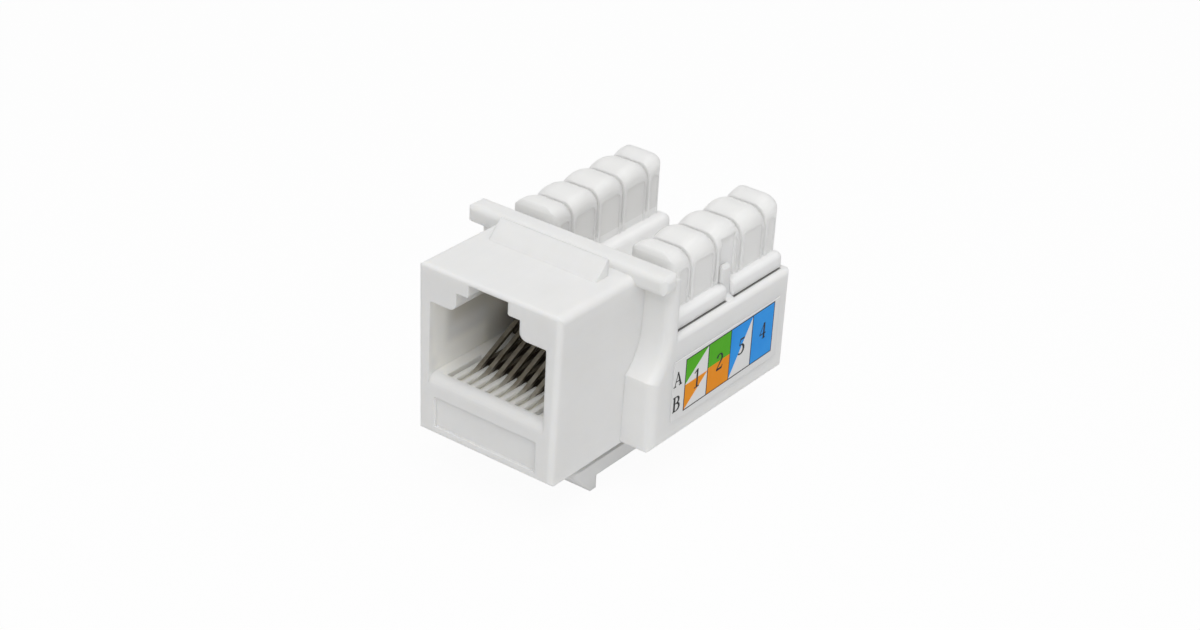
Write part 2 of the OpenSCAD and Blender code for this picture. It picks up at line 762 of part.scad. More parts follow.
// One row: posts on a core, an outer ledge on the side wall and an inner ledge
module tower_row() {
    skirt_x = tray_in - fit_gap;
    for (i = [1:slots + 1])
        post(i);
    block([row_in + post_r, row_y0 + row_end_r, post_base_z], [row_out - post_r, row_y1 - row_end_r, slot_floor_z]);
    // outer ledge and the skirt inside the side wall
    along_y(round_rect(row_out - post_r - 0.1, tray_h + ledge_gap, ledge_x, ledge_z, [0, 0, ledge_r, 0]), row_y0 - 0.4, row_y1 - 0.1);
    block([row_out - post_r - 0.1, deck_y0, post_base_z], [skirt_x, rear_y - 2 * fit_gap, tray_h + ledge_gap + fit_gap]);
    block([skirt_x - skirt_t, deck_y0, seat_z], [skirt_x, rear_y - 2 * fit_gap, post_base_z + 0.1]);
    // inner ledge
    along_y(round_rect(row_in - rail_w, deck_z - 0.1, row_in + post_r + 0.1, deck_z + rail_h, [0, 0, 0, rail_r]), deck_y0, row_y1 + 0.2);
}

module tower_block() {
    skirt_x = tray_in - fit_gap;
    pocket_t = fork_t / 2 + fit_gap;
    pocket_w = fork_w / 2 + fit_gap;
    color([0.94, 0.94, 0.93])
        difference() {
            union() {
                both_sides()
                    tower_row();
                // deck between the rows and the skirt that closes the tray behind
                block([-skirt_x, deck_y0, post_base_z], [skirt_x, rear_y - 2 * fit_gap, deck_z]);
                block([-skirt_x, rear_y - rear_sill_t, board_z + fit_gap], [skirt_x, rear_y - 2 * fit_gap, deck_z]);
            }
            both_sides() {
                for (i = [1:slots]) {
                    // pocket of a fork contact
                    translate([row_x - pocket_t, slot_y(i) - pocket_w, post_base_z - over])
                        cube([2 * pocket_t, 2 * pocket_w, fork_top_z + 2 * fit_gap - post_base_z + over]);
                }
                // break in the outer ledge and the recess for the snap tongue
                block([tongue_x - fit_gap, tongue_y - tongue_w / 2 - fit_gap, tray_h - 0.7],
                    [ledge_x + over, tongue_y + tongue_w / 2 + fit_gap, ledge_z + over]);
                block([row_out - window_d, window_y - window_w / 2, ledge_z],
                    [row_out + over, window_y + window_w / 2, window_top_z]);
            }
        }
}

module fork_contact(i) {
    side = i > slots ? 1 : -1;
    place = i > slots ? i - slots : i;
    half = fork_w / 2;
    slit = fork_slit / 2;
    mouth = fork_mouth / 2;
    stem = stem_w / 2;
    pin = fork_pin_w / 2;
    bottom = board_z - pin_out;
    right = [
        [pin, bottom + 0.3], [pin, seat_z], [stem, seat_z], [stem, stem_top_z], [half, stem_top_z + 0.5],
        [half, fork_top_z - 0.4], [half - 0.3, fork_top_z], [mouth, fork_top_z],
        [slit, fork_top_z - 1.1], [slit, fork_top_z - fork_slit_d + slit]];
    floor_arc = arc(0, fork_top_z - fork_slit_d + slit, slit, -30, -150, 4);
    color([0.72, 0.73, 0.75])
        translate([side * row_x - fork_t / 2, slot_y(place), 0])
            along_x(concat(
                [[pin / 2, bottom]], right, floor_arc,
                [for (k = [len(right) - 1:-1:0]) [-right[k][0], right[k][1]]], [[-pin / 2, bottom]]),
                0, fork_t);
}

module wiring_label() {
    y1 = rear_y - label_rear;
    color("white")
        block([tray_w / 2, y1 - label_l, label_z], [tray_w / 2 + label_t, y1, label_z + label_h]);
}

jack_housing();
latch_lever();
contact_carrier();
circuit_board();
tower_block();
wiring_label();
for (i = [1:contacts])
    contact_spring(i);
for (i = [1:contacts])
    contact_tail(i);
for (i = [1:2 * slots])
    fork_contact(i);
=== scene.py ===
"""Looks of a keystone network jack: moulded plastics, plated strips, printed label, light and camera."""
import math

import bmesh
import bpy
from mathutils import Matrix, Vector


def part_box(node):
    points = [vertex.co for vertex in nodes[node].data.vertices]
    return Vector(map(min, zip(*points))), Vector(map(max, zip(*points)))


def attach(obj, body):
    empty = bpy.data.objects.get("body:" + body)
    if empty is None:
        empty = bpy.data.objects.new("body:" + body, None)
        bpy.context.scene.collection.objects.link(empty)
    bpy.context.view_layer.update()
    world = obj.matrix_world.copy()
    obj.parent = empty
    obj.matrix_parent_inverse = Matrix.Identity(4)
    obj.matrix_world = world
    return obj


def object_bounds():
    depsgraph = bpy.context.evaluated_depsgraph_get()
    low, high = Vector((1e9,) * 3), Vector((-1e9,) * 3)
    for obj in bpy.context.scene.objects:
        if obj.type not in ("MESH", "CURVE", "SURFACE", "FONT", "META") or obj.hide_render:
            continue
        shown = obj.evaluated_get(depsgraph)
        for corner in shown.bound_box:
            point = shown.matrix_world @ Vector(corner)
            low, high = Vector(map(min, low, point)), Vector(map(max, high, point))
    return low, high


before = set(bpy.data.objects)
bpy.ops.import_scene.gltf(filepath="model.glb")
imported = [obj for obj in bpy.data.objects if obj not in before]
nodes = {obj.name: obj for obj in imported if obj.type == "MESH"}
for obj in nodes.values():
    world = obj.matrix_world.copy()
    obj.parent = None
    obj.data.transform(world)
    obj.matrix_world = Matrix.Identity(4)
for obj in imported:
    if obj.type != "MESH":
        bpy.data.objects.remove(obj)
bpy.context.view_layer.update()        # bodies, nodes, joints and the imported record

MM = 0.001


# ---------------------------------------------------------------- shader parts

# sockets are numbered where a node gives several of them one name
MIX_BASE, MIX_TINT, MIX_RESULT = 6, 7, 2
RANGE_PLACE, RANGE_FROM, RANGE_UP_TO, RANGE_START, RANGE_END, RANGE_RESULT = 6, 7, 8, 9, 10, 1


def plug(tree, source, target):
    """Joins two sockets, each given as (node, name or number of the socket)."""
    tree.links.new(source[0].outputs[source[1]], target[0].inputs[target[1]])


def place(tree, kind, **settings):
    """Adds a node of a kind with its settings; its inputs are set with set_inputs."""
    node = tree.nodes.new(kind)
    for name, value in settings.items():
        setattr(node, name, value)
    return node


def set_inputs(node, **values):
    """Sets inputs by name, with _ for a space."""
    for name, value in values.items():
        node.inputs[name.replace("_", " ")].default_value = value
    return node


def new_group(name, inputs, outputs):
    """A shader group with named sockets, its entry and its exit."""
    group = bpy.data.node_groups.new(name, "ShaderNodeTree")
    for label, value in inputs.items():
        size = len(value) if isinstance(value, tuple) else 1
        kind = {1: "NodeSocketFloat", 3: "NodeSocketVector", 4: "NodeSocketColor"}[size]
        group.interface.new_socket(label, in_out="INPUT", socket_type=kind).default_value = value
    for label, kind in outputs.items():
        group.interface.new_socket(label, in_out="OUTPUT", socket_type=kind)
    return group, place(group, "NodeGroupInput"), place(group, "NodeGroupOutput")


def millimetres(tree, stretch=(1, 1, 1)):
    """Where a point of the piece lies, in millimetres, stretched by axis."""
    coordinates = place(tree, "ShaderNodeTexCoord")
    scaled = place(tree, "ShaderNodeVectorMath", operation="MULTIPLY")
    scaled.inputs[1].default_value = [factor / MM for factor in stretch]
    plug(tree, (coordinates, "Object"), (scaled, 0))
    return scaled


def noise(tree, where, scale, detail=2.0, rough=0.5):
    """Noise of a scale per millimetre."""
    node = place(tree, "ShaderNodeTexNoise")
    set_inputs(node, Scale=scale, Detail=detail, Roughness=rough)
    plug(tree, (where, 0), (node, "Vector"))
    return node


def spread(tree, source, low, high, start=0.3, end=0.7):
    """Maps a mask from start..end to low..high."""
    node = place(tree, "ShaderNodeMapRange", interpolation_type="SMOOTHSTEP")
    set_inputs(node, From_Min=start, From_Max=end, To_Min=low, To_Max=high)
    plug(tree, source, (node, "Value"))
    return node


def calc(tree, operation, first, second, **settings):
    """Math node; each operand is a socket pair or a number."""
    node = place(tree, "ShaderNodeMath", operation=operation, **settings)
    for index, operand in enumerate((first, second)):
        if isinstance(operand, tuple):
            plug(tree, operand, (node, index))
        else:
            node.inputs[index].default_value = operand
    return node


def tinted(tree, mask, base, tint):
    """Goes from a base colour to a tint by a mask."""
    blend = place(tree, "ShaderNodeMix", data_type="RGBA")
    plug(tree, mask, (blend, "Factor"))
    plug(tree, base, (blend, MIX_BASE))
    plug(tree, tint, (blend, MIX_TINT))
    return blend


def shader_blend(tree, mask, first, second):
    """Goes from one shader to another by a mask."""
    blend = place(tree, "ShaderNodeMixShader")
    plug(tree, mask, (blend, 0))
    plug(tree, (first, 0), (blend, 1))
    plug(tree, (second, 0), (blend, 2))
    return blend


# ---------------------------------------------------------------- surface groups

def light_and_stain_zone():
    """Tint of one box-shaped zone of a piece, even or in mottles, used for painted light, painted shade and a
    stain; its X is the distance from the middle.
    """
    group, enter, leave = new_group(
        "light_and_stain_zone",
        {"Colour": (0.8, 0.8, 0.8, 1), "Tint Colour": (0.6, 0.6, 0.6, 1), "Low": (0.0, 0.0, 0.0),
         "High": (1.0, 1.0, 1.0), "Soft": 0.1, "Share": 0.9, "Mottles": 2.5, "Evenness": 1.0},
        {"Colour": "NodeSocketColor"})
    where = millimetres(group)
    split = place(group, "ShaderNodeSeparateXYZ")
    plug(group, (where, 0), (split, 0))
    aside = calc(group, "ABSOLUTE", (split, "X"), 0.0)
    both_sides = place(group, "ShaderNodeCombineXYZ")
    plug(group, (aside, 0), (both_sides, "X"))
    plug(group, (split, "Y"), (both_sides, "Y"))
    plug(group, (split, "Z"), (both_sides, "Z"))
    inside = place(group, "ShaderNodeVectorMath", operation="MULTIPLY")
    for index, (limit, before, after) in enumerate((("Low", 0.0, 1.0), ("High", 1.0, 0.0))):
        border = place(group, "ShaderNodeMapRange", data_type="FLOAT_VECTOR", interpolation_type="SMOOTHSTEP")
        plug(group, (both_sides, 0), (border, RANGE_PLACE))
        for socket, operation in ((RANGE_FROM, "SUBTRACT"), (RANGE_UP_TO, "ADD")):
            end = place(group, "ShaderNodeVectorMath", operation=operation)
            plug(group, (enter, limit), (end, 0))
            plug(group, (enter, "Soft"), (end, 1))
            plug(group, (end, 0), (border, socket))
        border.inputs[RANGE_START].default_value = (before,) * 3
        border.inputs[RANGE_END].default_value = (after,) * 3
        plug(group, (border, RANGE_RESULT), (inside, index))
    parts = place(group, "ShaderNodeSeparateXYZ")
    plug(group, (inside, 0), (parts, 0))
    mask = calc(group, "MULTIPLY", (parts, "X"), (parts, "Y"))
    mask = calc(group, "MULTIPLY", (mask, 0), (parts, "Z"))
    mask = calc(group, "MULTIPLY", (mask, 0), (enter, "Share"))
    spots = noise(group, where, 2.5, detail=3.0, rough=0.65)
    plug(group, (enter, "Mottles"), (spots, "Scale"))
    shade = spread(group, (spots, "Fac"), 0, 1, start=0.35, end=0.65)
    plug(group, (enter, "Evenness"), (shade, "To Min"))
    mask = calc(group, "MULTIPLY", (mask, 0), (shade, 0))
    colour = tinted(group, (mask, 0), (enter, "Colour"), (enter, "Tint Colour"))
    plug(group, (colour, MIX_RESULT), (leave, "Colour"))
    return group


def moulded_skin():
    """Skin of an injection moulding: cloudy shade, flow streaks, dust and a fine eroded grain."""
    group, enter, leave = new_group(
        "moulded_skin",
        {"Colour": (0.8, 0.8, 0.8, 1), "Shadow Colour": (0.7, 0.7, 0.68, 1), "Cloud": 0.5, "Streak": 0.3,
         "Dust": 0.15, "Roughness": 0.45, "Roughness Spread": 0.08},
        {"Colour": "NodeSocketColor", "Roughness": "NodeSocketFloat", "Height": "NodeSocketFloat"})
    flow = (1.0, 0.12, 0.6)      # draws the streaks out along the piece
    wave_share = 3.0             # height of the slow waves against the grain
    where = millimetres(group)
    clouds = noise(group, where, 0.22, detail=3.0)
    streaks = noise(group, millimetres(group, flow), 1.6)
    specks = noise(group, where, 3.1, detail=4.0, rough=0.7)
    grain = noise(group, where, 16.0, detail=3.0, rough=0.6)
    masks = []
    for pattern, start, end, amount in (
            (clouds, 0.3, 0.7, "Cloud"), (streaks, 0.45, 0.75, "Streak"), (specks, 0.62, 0.74, "Dust")):
        shape = spread(group, (pattern, "Fac"), 0, 1, start, end)
        masks.append(calc(group, "MULTIPLY", (shape, 0), (enter, amount)))
    mask = calc(group, "ADD", (masks[0], 0), (masks[1], 0))
    mask = calc(group, "ADD", (mask, 0), (masks[2], 0), use_clamp=True)
    colour = tinted(group, (mask, 0), (enter, "Colour"), (enter, "Shadow Colour"))
    plug(group, (colour, MIX_RESULT), (leave, "Colour"))
    gloss = spread(group, (specks, "Fac"), -1, 1, start=0.25, end=0.75)
    gloss = calc(group, "MULTIPLY", (gloss, 0), (enter, "Roughness Spread"))
    roughness = calc(group, "ADD", (gloss, 0), (enter, "Roughness"))
    plug(group, (roughness, 0), (leave, "Roughness"))
    waves = calc(group, "MULTIPLY", (clouds, "Fac"), wave_share)
    height = calc(group, "ADD", (waves, 0), (grain, "Fac"))
    plug(group, (height, 0), (leave, "Height"))
    return group


def rolled_strip():
    """Surface of a rolled and plated strip: lines along its run, darker film in patches."""
    group, enter, leave = new_group(
        "rolled_strip",
        {"Colour": (0.7, 0.7, 0.7, 1), "Film Colour": (0.4, 0.35, 0.25, 1), "Film": 0.5, "Roughness": 0.3},
        {"Colour": "NodeSocketColor", "Roughness": "NodeSocketFloat", "Height": "NodeSocketFloat"})
    rolling = (9.0, 0.5, 1.2)    # draws the lines out along the strip
    lines = noise(group, millimetres(group, rolling), 3.0, detail=3.0)
    patches = noise(group, millimetres(group), 0.9, detail=3.0)
    film = spread(group, (patches, "Fac"), 0, 1)
    film = calc(group, "MULTIPLY", (film, 0), (enter, "Film"))
    colour = tinted(group, (film, 0), (enter, "Colour"), (enter, "Film Colour"))
    plug(group, (colour, MIX_RESULT), (leave, "Colour"))
    rough = spread(group, (lines, "Fac"), -0.07, 0.1)
    roughness = calc(group, "ADD", (rough, 0), (enter, "Roughness"))
    plug(group, (roughness, 0), (leave, "Roughness"))
    plug(group, (lines, "Fac"), (leave, "Height"))
    return group


SKIN = moulded_skin()
STRIP = rolled_strip()
LIGHT_AND_STAIN_ZONE = light_and_stain_zone()


# ---------------------------------------------------------------- materials

def skin_material(name, group, values, depth, edge=0.0, tint_zones=(), **shader):
    """A material from a surface group, with the depth of its relief, rounded edges and tinted zones, which
    paint light and shade or a stain into the colour.
    """
    material = bpy.data.materials.new(name)
    material.use_nodes = True
    tree = material.node_tree
    surface = tree.nodes["Principled BSDF"]
    skin = place(tree, "ShaderNodeGroup", node_tree=group)
    for label, value in values.items():
        skin.inputs[label].default_value = value
    bump = place(tree, "ShaderNodeBump")
    set_inputs(bump, Strength=1.0, Distance=depth)
    if edge:
        rounding = place(tree, "ShaderNodeBevel", samples=6)
        set_inputs(rounding, Radius=edge)
        plug(tree, (rounding, "Normal"), (bump, "Normal"))
    colour = skin
    for tint_zone in tint_zones:
        layer = place(tree, "ShaderNodeGroup", node_tree=LIGHT_AND_STAIN_ZONE)
        for label, value in tint_zone.items():
            layer.inputs[label].default_value = value
        plug(tree, (colour, "Colour"), (layer, "Colour"))
        colour = layer
    plug(tree, (colour, "Colour"), (surface, "Base Color"))
    plug(tree, (skin, "Roughness"), (surface, "Roughness"))
    plug(tree, (skin, "Height"), (bump, "Height"))
    plug(tree, (bump, "Normal"), (surface, "Normal"))
    set_inputs(surface, **shader)
    return material


def zone(colour, low, high, soft, share, mottles=2.5, evenness=1.0):
    """Values of a tinted zone of painted light, painted shade or a stain between two corners in millimetres;
    its X is the distance from the middle.
    """
    return {"Tint Colour": (*colour, 1), "Low": low, "High": high, "Soft": soft, "Share": share,
            "Mottles": mottles, "Evenness": evenness}


# painted light: the comb, the lower side walls and the mouth of the port, and the fronts of the springs are
# painted paler, as where light falls into the port; the comb's patch is also a cream stain in mottles
PAINTED_PORT_LIGHT = (0.98, 0.97, 0.92)
PORT_PAINTED_LIGHT = zone(PAINTED_PORT_LIGHT, (4.4, 1.0, 4.6), (6.7, 7.5, 7.6), soft=0.6, share=1.0)
PORT_MOUTH_LIGHT = zone(PAINTED_PORT_LIGHT, (4.4, 0.4, 7.0), (6.7, 2.2, 12.6), soft=0.6, share=1.0)
COMB_LIGHT_AND_STAIN = zone((0.98, 0.96, 0.89), (-1, 0.9, 4.9), (5.3, 4.6, 5.75), soft=0.12, share=0.85,
                   mottles=2.6, evenness=0.6)
SPRING_FRONT_LIGHT = zone((0.88, 0.86, 0.78), (-1, 0, 4.0), (5.3, 2.9, 6.1), soft=0.7, share=0.9)
# painted shade: the upper and the far part of the port are greyer and a little yellow
PORT_SHADE = zone((0.60, 0.58, 0.51), (-1, 2.8, 9.4), (6.7, 10.2, 14.2), soft=0.8, share=0.7)
PORT_DEPTH_SHADE = zone((0.72, 0.70, 0.60), (-1, 7.5, 5.7), (6.6, 10.2, 13.5), soft=0.8, share=0.3)
# painted shade in the seam between the side walls of the tray and the outer ledges, on the one and on the
# other
SEAM_SHADE = zone((0.10, 0.092, 0.08), (8.8, 12.9, 9.8), (9.43, 28.9, 9.95), soft=0.03, share=0.75)
LEDGE_SHADE = zone((0.10, 0.09, 0.075), (8.7, 12, 9.7), (9.28, 30, 10.08), soft=0.02, share=0.75)
# painted light and shade: the tops of the posts are painted darker than the lighter sides of the block, a
# tone difference that stands in for how light falls, and the floors of the panels that are sunk into their
# inner and outer sides are painted darker, as shade in the recesses
POST_CAP_SHADE = zone((0.835, 0.832, 0.82), (-1, 12, 14.9), (10, 30, 18), soft=0.5, share=1.0)
PANEL_FLOORS, FLOOR_REACH = (4.005, 8.495), 0.055
SUNK_PANEL_SHADE = [
    zone((0.81, 0.805, 0.79), (x - FLOOR_REACH, 12, 11.5), (x + FLOOR_REACH, 30, 15.2), soft=0.02, share=0.7)
    for x in PANEL_FLOORS]

# light that travels through the plastic, by a share, by colour and over a distance
GLOW = {"Subsurface_Weight": 0.5, "Subsurface_Radius": (1.0, 0.94, 0.84), "Subsurface_Scale": 1.2 * MM}
THIN_GLOW = {"Subsurface_Weight": 0.65, "Subsurface_Radius": (1.0, 0.98, 0.95),
             "Subsurface_Scale": 2.2 * MM}

# the zones of the housing are painted light and painted shade in and around the port and in the seam; the
# comb's zone is partly a cream stain
white_moulding = skin_material(
    "white_moulding", SKIN,
    {"Colour": (0.82, 0.82, 0.815, 1), "Shadow Colour": (0.77, 0.768, 0.755, 1), "Cloud": 0.35,
     "Streak": 0.12, "Dust": 0.12, "Roughness": 0.46, "Roughness Spread": 0.06},
    depth=0.004 * MM, edge=0.15 * MM,
    tint_zones=[COMB_LIGHT_AND_STAIN, PORT_PAINTED_LIGHT, PORT_MOUTH_LIGHT, PORT_SHADE, PORT_DEPTH_SHADE, SEAM_SHADE], IOR=1.5, **GLOW)
# painted light and shade: the block's white is lighter on its sides than on its post tops, and its zones
# paint shade onto the sunk panels and the ledge seam
tower_moulding = skin_material(
    "tower_moulding", SKIN,
    {"Colour": (0.95, 0.947, 0.94, 1), "Shadow Colour": (0.91, 0.905, 0.89, 1), "Cloud": 0.35, "Streak": 0.12,
     "Dust": 0.12, "Roughness": 0.52, "Roughness Spread": 0.06},
    depth=0.004 * MM, edge=0.2 * MM, tint_zones=[POST_CAP_SHADE, *SUNK_PANEL_SHADE, LEDGE_SHADE], IOR=1.5, **THIN_GLOW)
dark_moulding = skin_material(
    "dark_moulding", SKIN,
    {"Colour": (0.17, 0.145, 0.11, 1), "Shadow Colour": (0.11, 0.092, 0.068, 1), "Cloud": 0.6, "Streak": 0.4,
     "Dust": 0.3, "Roughness": 0.5, "Roughness Spread": 0.1},
    depth=0.006 * MM, IOR=1.5)
board_mask = skin_material(
    "board_mask", SKIN,
    {"Colour": (0.02, 0.12, 0.045, 1), "Shadow Colour": (0.03, 0.20, 0.07, 1), "Cloud": 0.8, "Streak": 0.8,
     "Dust": 0.1, "Roughness": 0.32, "Roughness Spread": 0.1},
    depth=0.01 * MM, IOR=1.5)
label_film = skin_material(
    "label_film", SKIN,
    {"Colour": (0.775, 0.775, 0.775, 1), "Shadow Colour": (0.74, 0.735, 0.73, 1), "Cloud": 0.4, "Streak": 0.1,
     "Dust": 0.1, "Roughness": 0.46, "Roughness Spread": 0.05},
    depth=0.003 * MM, IOR=1.5)
# the fronts of the springs are painted lighter, as painted light falling into the port
spring_plating = skin_material(
    "spring_plating", STRIP,
    {"Colour": (0.45, 0.42, 0.365, 1), "Film Colour": (0.25, 0.22, 0.17, 1), "Film": 0.7, "Roughness": 0.36},
    depth=0.004 * MM, edge=0.05 * MM, tint_zones=[SPRING_FRONT_LIGHT], Metallic=1.0)
fork_plating = skin_material(
    "fork_plating", STRIP,
    {"Colour": (0.66, 0.66, 0.67, 1), "Film Colour": (0.48, 0.48, 0.50, 1), "Film": 0.6, "Roughness": 0.38},
    depth=0.004 * MM, edge=0.05 * MM, Metallic=1.0)


def ink(name, colour, worn):
    """Printing ink, slightly uneven."""
    return skin_material(
        name, SKIN,
        {"Colour": (*colour, 1), "Shadow Colour": (*worn, 1), "Cloud": 0.6, "Streak": 0.2, "Dust": 0.5,
         "Roughness": 0.5, "Roughness Spread": 0.06},
        depth=0.002 * MM, Specular_IOR_Level=0.1)


green_ink = ink("green_ink", (0.075, 0.42, 0.006), (0.10, 0.46, 0.015))
orange_ink = ink("orange_ink", (0.84, 0.27, 0.004), (0.88, 0.32, 0.012))
blue_ink = ink("blue_ink", (0.02, 0.29, 0.82), (0.035, 0.34, 0.86))
black_ink = ink("black_ink", (0.02, 0.02, 0.022), (0.05, 0.05, 0.05))

FINISHES = {"jack_housing": white_moulding, "latch_lever": white_moulding, "tower_block": tower_moulding,
            "contact_carrier": dark_moulding, "circuit_board": board_mask, "wiring_label": label_film,
            "contact_spring": spring_plating, "contact_tail": spring_plating, "fork_contact": fork_plating}


def dress(piece, material):
    """Gives every face of a piece one material."""
    piece.data.materials.clear()
    piece.data.materials.append(material)
    for face in piece.data.polygons:
        face.material_index = 0


# a node that comes several times ends with its number
for name, node in nodes.items():
    dress(node, FINISHES[name.rstrip("_0123456789")])


# ---------------------------------------------------------------- label print, in millimetres along Y and Z

film_low, film_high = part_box("wiring_label")
LABEL_X = film_high.x
FILM_Y, FILM_Z = film_low.y / MM, film_low.z / MM
CELLS = 4
CELL_PITCH = 3.3
CELL_START = 1.68            # from the front end of the film to the first cell
CELL_Y = [FILM_Y + CELL_START + CELL_PITCH * i for i in range(CELLS + 1)]
CELL_LOW, CELL_MID, CELL_HIGH = (FILM_Z + rise for rise in (0.55, 3.05, 5.43))
BORDER_SHIFT = 0.08          # how far the border of green and orange lies off the middle
SKEW = 0.02                  # the label is glued on a little askew
LINE = 0.09                  # width of the frame lines
INK = 0.012 * MM             # height of the print
LINE_LIFT, SIGN_LIFT = 0.3 * INK, 0.6 * INK


def print_shapes(name, shapes, material, lift=0.0):
    """Flat printed shapes on the label, each a list of (y, z) corners."""
    base = LABEL_X + lift
    mesh = bmesh.new()
    for corners in shapes:
        area = sum(a[0] * b[1] - b[0] * a[1] for a, b in zip(corners, corners[1:] + corners[:1]))
        if area < 0:
            corners = corners[::-1]
        corners = [(y, z + SKEW * (y - CELL_Y[0])) for y, z in corners]
        low = [mesh.verts.new((base - INK, y * MM, z * MM)) for y, z in corners]
        top = [mesh.verts.new((base + INK, y * MM, z * MM)) for y, z in corners]
        mesh.faces.new(top)
        mesh.faces.new(low[::-1])
        for i in range(len(corners)):
            j = (i + 1) % len(corners)
            mesh.faces.new((low[i], low[j], top[j], top[i]))
    data = bpy.data.meshes.new(name)
    mesh.to_mesh(data)
    mesh.free()
    piece = bpy.data.objects.new(name, data)
    bpy.context.scene.collection.objects.link(piece)
    dress(piece, material)
    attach(piece, "jack")


def rectangle(y0, z0, y1, z1):
    """Corners of a rectangle between two opposite ones."""
    return [(y0, z0), (y1, z0), (y1, z1), (y0, z1)]


def full_cell(i, low, high):
    """All of a cell between two heights."""
    return rectangle(CELL_Y[i], low, CELL_Y[i + 1], high)


def striped_cell(i, low, high):
    """The half of a cell above the line from its lower front to its upper rear corner."""
    return [(CELL_Y[i], low), (CELL_Y[i + 1], high), (CELL_Y[i], high)]


green = [striped_cell(0, CELL_MID, CELL_HIGH), full_cell(1, CELL_MID + BORDER_SHIFT, CELL_HIGH)]
orange = [striped_cell(0, CELL_LOW, CELL_MID - BORDER_SHIFT), full_cell(1, CELL_LOW, CELL_MID + BORDER_SHIFT)]
blue = [striped_cell(2, CELL_LOW, CELL_HIGH), full_cell(3, CELL_LOW, CELL_HIGH)]
lines = [rectangle(y - LINE / 2, CELL_LOW, y + LINE / 2, CELL_HIGH) for y in CELL_Y]
lines += [rectangle(CELL_Y[0] - LINE / 2, z - LINE / 2, CELL_Y[CELLS] + LINE / 2, z + LINE / 2)
          for z in (CELL_LOW, CELL_HIGH)]
print_shapes("print_green", green, green_ink)
print_shapes("print_orange", orange, orange_ink)
print_shapes("print_blue", blue, blue_ink)
print_shapes("print_lines", lines, black_ink, lift=LINE_LIFT)


# widths of the pen strokes, in shares of a sign's height
THIN, THICK = 0.055, 0.16


def ribbon(points):
    """Four-sided shapes of one pen stroke through points of (y, z, width)."""
    quads = []
    for (ya, za, wa), (yb, zb, wb) in zip(points, points[1:]):
        run = math.hypot(yb - ya, zb - za)
        ny, nz = -(zb - za) / run, (yb - ya) / run
        quads.append([(ya - ny * wa / 2, za - nz * wa / 2), (yb - ny * wb / 2, zb - nz * wb / 2),
                      (yb + ny * wb / 2, zb + nz * wb / 2), (ya + ny * wa / 2, za + nz * wa / 2)])
    return quads


def bow(cy, cz, ry, rz, start, end, steps=12):
    """Points of a curved stroke that is thick at its sides and thin above and below."""
    points = []
    for i in range(steps + 1):
        angle = math.radians(start + (end - start) * i / steps)
        y, z = cy + ry * math.cos(angle), cz + rz * math.sin(angle)
        points.append((y, z, THIN + (THICK - THIN) * abs(math.cos(angle))))
    return points


# the strokes of each sign, as points of (y, z, width) in shares of the sign's height
SIGNS = {
    "1": [[(0.36, 1.0, 0.125), (0.36, 0.03, 0.125)], [(0.16, 0.03, THIN), (0.56, 0.03, THIN)],
          [(0.36, 0.98, THIN), (0.14, 0.84, THIN)]],
    "2": [bow(0.32, 0.73, 0.24, 0.25, 165, -35), [(0.52, 0.59, 0.13), (0.08, 0.08, THIN)],
          [(0.06, 0.07, 0.13), (0.56, 0.07, 0.13)], [(0.55, 0.04, THIN), (0.61, 0.24, THIN)]],
    "4": [[(0.44, 1.0, THIN), (0.05, 0.33, THIN)], [(0.02, 0.31, 0.07), (0.64, 0.31, 0.07)],
          [(0.45, 1.0, THICK), (0.45, 0.0, THICK)], [(0.3, 0.03, THIN), (0.6, 0.03, THIN)]],
    "5": [[(0.18, 0.95, 0.11), (0.56, 0.95, 0.11)], [(0.19, 0.97, THIN), (0.12, 0.58, THIN)],
          bow(0.26, 0.33, 0.28, 0.29, 115, -115), [(0.15, 0.07, THIN), (0.06, 0.1, 0.11)]],
    "A": [[(0.42, 1.0, THIN), (0.12, 0.03, THIN)], [(0.4, 1.0, 0.1), (0.74, 0.03, THICK)],
          [(0.22, 0.36, THIN), (0.62, 0.36, THIN)], [(0.0, 0.03, THIN), (0.26, 0.03, THIN)],
          [(0.56, 0.03, THIN), (0.88, 0.03, THIN)]],
    "B": [[(0.2, 1.0, THICK), (0.2, 0.0, THICK)], [(0.05, 0.97, THIN), (0.4, 0.97, THIN)],
          [(0.05, 0.03, THIN), (0.4, 0.03, THIN)], [(0.2, 0.53, THIN), (0.42, 0.53, THIN)],
          bow(0.38, 0.75, 0.24, 0.22, 90, -90), bow(0.38, 0.28, 0.3, 0.25, 90, -90)]}
# each sign with its front end, its foot above the foot of the cells, and its height
SIGN_PLACES = [
    ("1", CELL_Y[0] + 1.12, 1.45, 1.8), ("2", CELL_Y[1] + 1.22, 1.68, 1.6),
    ("5", CELL_Y[2] + 1.24, 1.75, 1.6), ("4", CELL_Y[3] + 1.21, 1.86, 1.55),
    ("A", FILM_Y + 0.01, 2.85, 1.36), ("B", FILM_Y, 0.42, 1.45)]

signs = []
for text, front, rise, height in SIGN_PLACES:
    for stroke in SIGNS[text]:
        signs += ribbon([(front + y * height, CELL_LOW + rise + z * height, width * height)
                         for y, z, width in stroke])
print_shapes("print_signs", signs, black_ink, lift=SIGN_LIFT)


# ---------------------------------------------------------------- floor and backdrop

FLOOR_SIZE = 3.0
FLOOR_GAP = 0.02 * MM
FLOOR_GREY = (0.85, 0.85, 0.85, 1)
FLOOR_WHITE_SHARE = 0.95     # the rest lets the shadow show
ROOM_LIGHT = 0.35
WHITE = (1, 1, 1, 1)


def seen_mask(tree, rays):
    """1 for what the camera sees, also in metal and glass, and 0 for light that bounces on."""
    seen = calc(tree, "MAXIMUM", (rays, "Is Camera Ray"), (rays, "Is Glossy Ray"))
    return calc(tree, "MAXIMUM", (seen, 0), (rays, "Is Transmission Ray"))


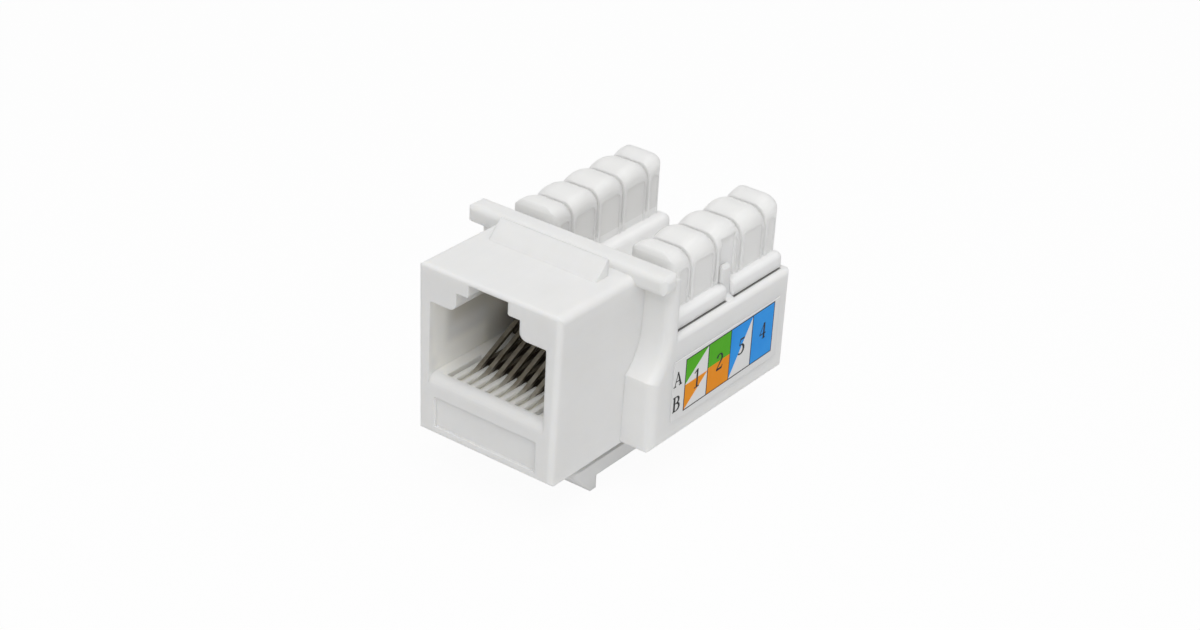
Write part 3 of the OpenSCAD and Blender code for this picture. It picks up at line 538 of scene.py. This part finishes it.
floor_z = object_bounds()[0].z - FLOOR_GAP
bpy.ops.mesh.primitive_grid_add(x_subdivisions=2, y_subdivisions=2, size=FLOOR_SIZE, location=(0, 0, floor_z))
floor = bpy.context.object
floor.name = "studio_floor"
floor_paint = bpy.data.materials.new("studio_floor")
floor_paint.use_nodes = True
tree = floor_paint.node_tree
tree.nodes.remove(tree.nodes["Principled BSDF"])
matt = set_inputs(place(tree, "ShaderNodeBsdfDiffuse"), Color=FLOOR_GREY)
white = set_inputs(place(tree, "ShaderNodeEmission"), Color=WHITE, Strength=1.0)
rays = place(tree, "ShaderNodeLightPath")
share = calc(tree, "MULTIPLY", (seen_mask(tree, rays), 0), FLOOR_WHITE_SHARE)
painted = shader_blend(tree, (share, 0), matt, white)
# the floor lets the camera through from below, so that the underside can be looked at
side = place(tree, "ShaderNodeNewGeometry")
clear = place(tree, "ShaderNodeBsdfTransparent")
through = calc(tree, "MULTIPLY", (side, "Backfacing"), (rays, "Is Camera Ray"))
opened = shader_blend(tree, (through, 0), painted, clear)
plug(tree, (opened, 0), (tree.nodes["Material Output"], "Surface"))
dress(floor, floor_paint)

world = bpy.data.worlds.new("studio")
bpy.context.scene.world = world
world.use_nodes = True
tree = world.node_tree
room = set_inputs(tree.nodes["Background"], Color=WHITE, Strength=ROOM_LIGHT)
backdrop = set_inputs(place(tree, "ShaderNodeBackground"), Color=WHITE, Strength=1.0)
seen = seen_mask(tree, place(tree, "ShaderNodeLightPath"))
shown = shader_blend(tree, (seen, 0), room, backdrop)
plug(tree, (shown, 0), (tree.nodes["World Output"], "Surface"))


# ---------------------------------------------------------------- lamps and camera

TARGET = Vector((0, 12.0, 9.0)) * MM
# name, azimuth and elevation in degrees, distance and size in metres, power in watts
LAMPS = [
    ("key_lamp", 22, 52, 0.5, 0.3, 0.75),
    ("top_lamp", 90, 82, 0.5, 0.4, 1.0),
    ("side_lamp", 62, 16, 0.6, 0.4, 0.42)]
CAMERA_AZIMUTH, CAMERA_ELEVATION, CAMERA_ROLL = 36.31, 28.43, 2.98
CAMERA_DISTANCE = 200.0 * MM
CAMERA_NEAR = 0.01
LENS, SENSOR = 71.1, 36.0
SHIFT_X, SHIFT_Y = 0.01939, -0.00371


def direction(azimuth, elevation):
    """The way from the jack at two angles in degrees; azimuth 0 is in front and 90 to the right."""
    a, e = math.radians(azimuth), math.radians(elevation)
    return Vector((math.sin(a) * math.cos(e), -math.cos(a) * math.cos(e), math.sin(e)))


for name, azimuth, elevation, distance, size, power in LAMPS:
    lamp = bpy.data.lights.new(name, "AREA")
    lamp.shape = "SQUARE"
    lamp.size = size
    lamp.energy = power
    stand = bpy.data.objects.new(name, lamp)
    way = direction(azimuth, elevation)
    stand.location = TARGET + way * distance
    stand.rotation_euler = way.to_track_quat("Z", "Y").to_euler()
    bpy.context.scene.collection.objects.link(stand)

back = direction(CAMERA_AZIMUTH, CAMERA_ELEVATION)
level = (-back).cross(Vector((0, 0, 1))).normalized()
upright = level.cross(-back)
roll = math.radians(CAMERA_ROLL)
right = level * math.cos(roll) + upright * math.sin(roll)
up = upright * math.cos(roll) - level * math.sin(roll)
eye = TARGET + back * CAMERA_DISTANCE
lens = bpy.data.cameras.new("camera")
lens.sensor_width = SENSOR
lens.lens = LENS
lens.shift_x = SHIFT_X
lens.shift_y = SHIFT_Y
lens.clip_start = CAMERA_NEAR
camera = bpy.data.objects.new("camera", lens)
camera.matrix_world = Matrix((
    (right.x, up.x, back.x, eye.x),
    (right.y, up.y, back.y, eye.y),
    (right.z, up.z, back.z, eye.z),
    (0, 0, 0, 1)))
bpy.context.scene.collection.objects.link(camera)
bpy.context.scene.camera = camera
bpy.context.scene.view_settings.view_transform = "Standard"
